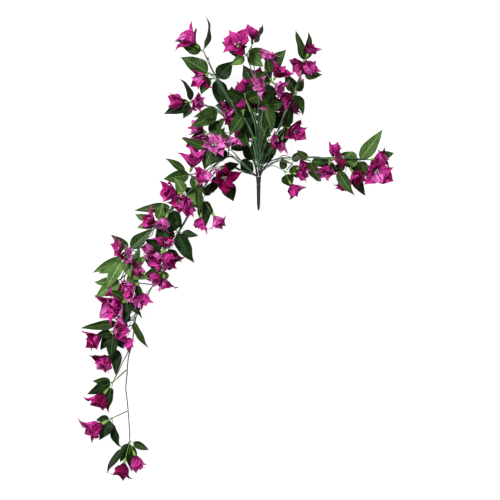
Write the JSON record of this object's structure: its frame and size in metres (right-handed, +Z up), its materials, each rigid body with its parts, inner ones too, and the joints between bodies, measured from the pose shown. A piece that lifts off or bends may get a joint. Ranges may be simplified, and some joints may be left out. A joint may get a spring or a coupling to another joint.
{
  "type": "artificial trailing bougainvillea bush",
  "caption": "Artificial trailing bougainvillea bush: cloth leaves and bracts on wire-cored plastic stems that fan out of a plastic pick. It lies flat, and the pick pushes into a pot.",
  "frame": {"origin": "middle of the bounding box, on the table that the bush lies on", "axes": "+Z up from the table, -Y the way the pick points, +X towards the short side branch; the long trail runs to -Y"},
  "size_m": [0.6392, 0.9242, 0.1522],
  "materials": {
    "pick_plastic": "moulded, satin",
    "stem_plastic": "extruded over wire, satin",
    "foliage": "printed polyester leaf with pressed veins, dull",
    "blossom": "dyed polyester bract with pressed veins, dull"
  },
  "bodies": {
    "root": {"stem_pick": "pick_plastic", "crown_left": "stem_plastic", "crown_middle": "stem_plastic", "crown_fork": "stem_plastic", "crown_right": "stem_plastic", "crown_back": "stem_plastic", "crown_low_left": "stem_plastic", "trail_arch_front": "stem_plastic", "trail_left": "stem_plastic", "trail_arch_back": "stem_plastic", "trail_upper": "stem_plastic", "trail_lower": "stem_plastic", "trail_end": "stem_plastic", "right_branch": "stem_plastic", "crown_tip_left": "foliage", "crown_left_high": "foliage", "crown_left_mid": "foliage", "crown_top": "foliage", "crown_top_right": "blossom", "crown_tip_right": "foliage", "crown_right_mid": "foliage", "crown_edge_left": "foliage", "crown_side_left": "foliage", "crown_low_left_spray": "blossom", "crown_foot_left": "foliage", "crown_foot_mid": "foliage", "crown_heart_high": "foliage", "crown_heart_front": "foliage", "crown_heart_low": "foliage", "crown_heart_right": "blossom", "crown_right_low": "foliage", "crown_front_low": "foliage", "crown_foot_front": "foliage", "crown_back_high": "foliage", "crown_back_left": "foliage", "crown_back_right": "foliage", "crown_back_low": "foliage", "bend_left": "foliage", "bend_right": "foliage", "bend_low": "foliage", "bend_far_left": "foliage", "trail_left_high": "foliage", "trail_mid_high": "foliage", "trail_mid_bloom": "blossom", "trail_left_mid": "foliage", "trail_left_low": "foliage", "trail_mid_low": "foliage", "trail_knot": "foliage", "trail_wide": "foliage", "trail_long_leaf": "foliage", "trail_three": "foliage", "trail_end_left": "foliage", "trail_end_low": "foliage", "trail_tip": "foliage", "right_foot": "foliage", "right_mid": "foliage", "right_high": "blossom", "right_tip_low": "blossom", "right_tip": "foliage"}
  },
  "joints": []
}
